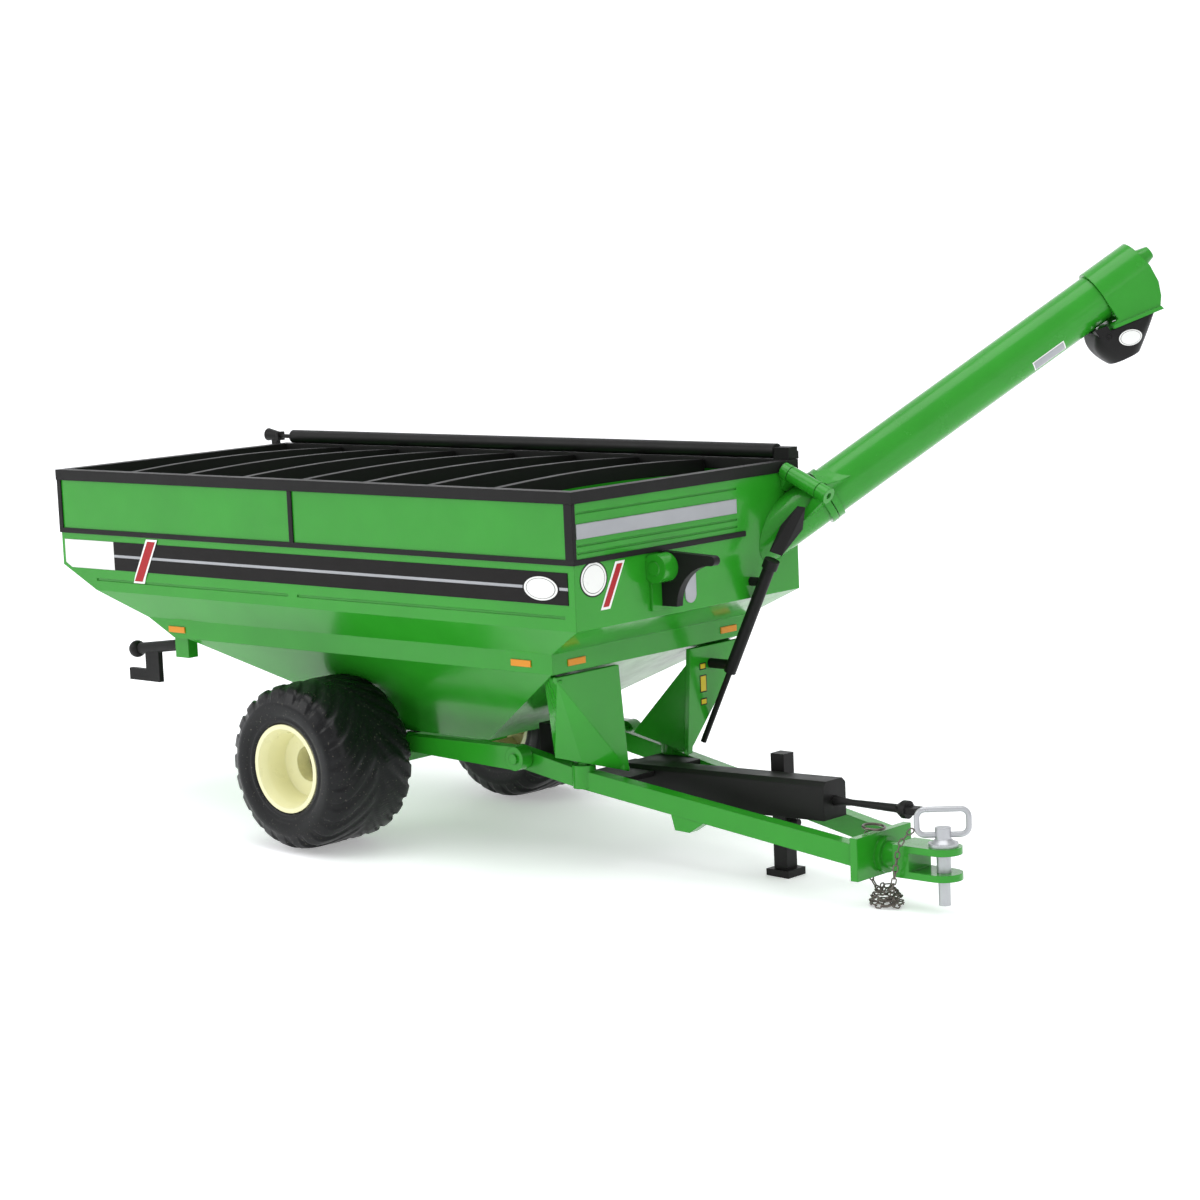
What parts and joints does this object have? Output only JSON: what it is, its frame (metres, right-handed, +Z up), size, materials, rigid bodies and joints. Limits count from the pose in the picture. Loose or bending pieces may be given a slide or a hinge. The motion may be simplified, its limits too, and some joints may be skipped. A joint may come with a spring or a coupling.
{
  "type": "scale model grain cart",
  "caption": "Scale model of a corner-auger grain cart with folding unloading auger, two flotation wheels, drawbar, parking jack and hitch pin on a chain.",
  "frame": {"origin": "centre of the bounding box, on the ground the wheels and the jack foot stand on", "axes": "+X forward along the drawbar, +Y to the cart's left, where the auger swings out, +Z up"},
  "size_m": [0.1876, 0.1146, 0.1012],
  "materials": {
    "green_paint": "glossy enamel over die-cast metal",
    "green_plastic": "glossy enamel over moulded plastic",
    "black_trim": "satin black moulded plastic and black print",
    "tarp_vinyl": "satin black",
    "silver_print": "silver pad print",
    "white_print": "white pad print",
    "amber_lens": "amber print",
    "tyre_rubber": "satin moulded tyre",
    "cream_rim": "cream moulded plastic",
    "bright_metal": "plain bright metal",
    "dark_steel": "blackened wire"
  },
  "bodies": {
    "cart": {"auger_saddle": "black_trim", "axle_housing": "green_paint", "axle_rod": "bright_metal", "belt_strip": "black_trim", "bow_1": "black_trim", "bow_2": "black_trim", "bow_3": "black_trim", "bow_4": "black_trim", "bow_5": "black_trim", "bow_6": "black_trim", "bow_7": "black_trim", "chain_drop": "dark_steel", "chain_pile": "dark_steel", "chain_rise": "dark_steel", "corner_posts": "black_trim", "cross_plates": "black_trim", "cylinder_barrel": "black_trim", "cylinder_link": "black_trim", "cylinder_rod": "black_trim", "drive_box": "black_trim", "frame_rivets": "green_paint", "front_leg_left": "green_paint", "front_leg_right": "green_paint", "front_windows": "silver_print", "hinge_pin": "bright_metal", "hitch_clevis": "green_paint", "hitch_plate": "green_paint", "hopper_shell": "green_paint", "jack_sleeve": "black_trim", "jump_ring": "dark_steel", "light_brackets": "green_paint", "lower_auger_tube": "green_plastic", "panel_dividers": "black_trim", "pto_cover": "black_trim", "rear_beam_left": "green_paint", "rear_beam_right": "green_paint", "rear_light_arms": "black_trim", "reflectors": "amber_lens", "rim_rail": "black_trim", "saddle_boss": "green_paint", "stripe_bands": "black_trim", "stripe_blocks": "white_print", "stripe_lines": "silver_print", "tarp_crank": "black_trim", "tarp_end_bracket": "black_trim", "tarp_roll": "tarp_vinyl", "tongue_beam_left": "green_paint", "tongue_beam_right": "green_paint"},
    "wheel_right": {"tyre_right": "tyre_rubber", "rim_right": "cream_rim"},
    "wheel_left": {"tyre_left": "tyre_rubber", "rim_left": "cream_rim"},
    "auger": {"upper_auger_tube": "green_plastic", "auger_head": "green_plastic", "spout_pivot_pin": "black_trim"},
    "spout": {"discharge_spout": "black_trim"},
    "pin": {"hitch_pin": "bright_metal"},
    "bail": {"pin_bail": "bright_metal"},
    "jack": {"jack_post": "black_trim"},
    "pto": {"pto_shaft": "black_trim"}
  },
  "joints": [
    {"name": "wheel_right_spin", "type": "hinge", "parent": "cart", "child": "wheel_right", "pos_m": [-0.02251, -0.0478, 0.01487], "axis": [0, 1, 0], "continuous": true},
    {"name": "wheel_left_spin", "type": "hinge", "parent": "cart", "child": "wheel_left", "pos_m": [-0.02251, 0.0042, 0.01487], "axis": [0, 1, 0], "continuous": true},
    {"name": "auger_fold", "type": "hinge", "parent": "cart", "child": "auger", "pos_m": [0.04498, 0.00311, 0.06236], "axis": [0.9236, 0.024, -0.3827], "range_deg": [0, 143]},
    {"name": "spout_tilt", "type": "hinge", "parent": "auger", "child": "spout", "pos_m": [0.07519, 0.04664, 0.0856], "axis": [0.768, -0.6401, 0.0228], "range_deg": [-12, 0]},
    {"name": "hitch_pin_lift", "type": "slide", "parent": "cart", "child": "pin", "axis": [-0.0297, 0, 0.9996], "range_m": [0, 0.0095]},
    {"name": "bail_flip", "type": "hinge", "parent": "pin", "child": "bail", "pos_m": [0.0902, -0.0218, 0.01269], "axis": [0.784, 0.6203, 0.0233], "range_deg": [-15, 85]},
    {"name": "jack_slide", "type": "slide", "parent": "cart", "child": "jack", "axis": [-0.0297, 0, 0.9996], "range_m": [0, 0.008]},
    {"name": "pto_spin", "type": "hinge", "parent": "cart", "child": "pto", "pos_m": [0.07212, -0.0218, 0.01541], "axis": [0.9996, 0, 0.0297], "continuous": true}
  ]
}
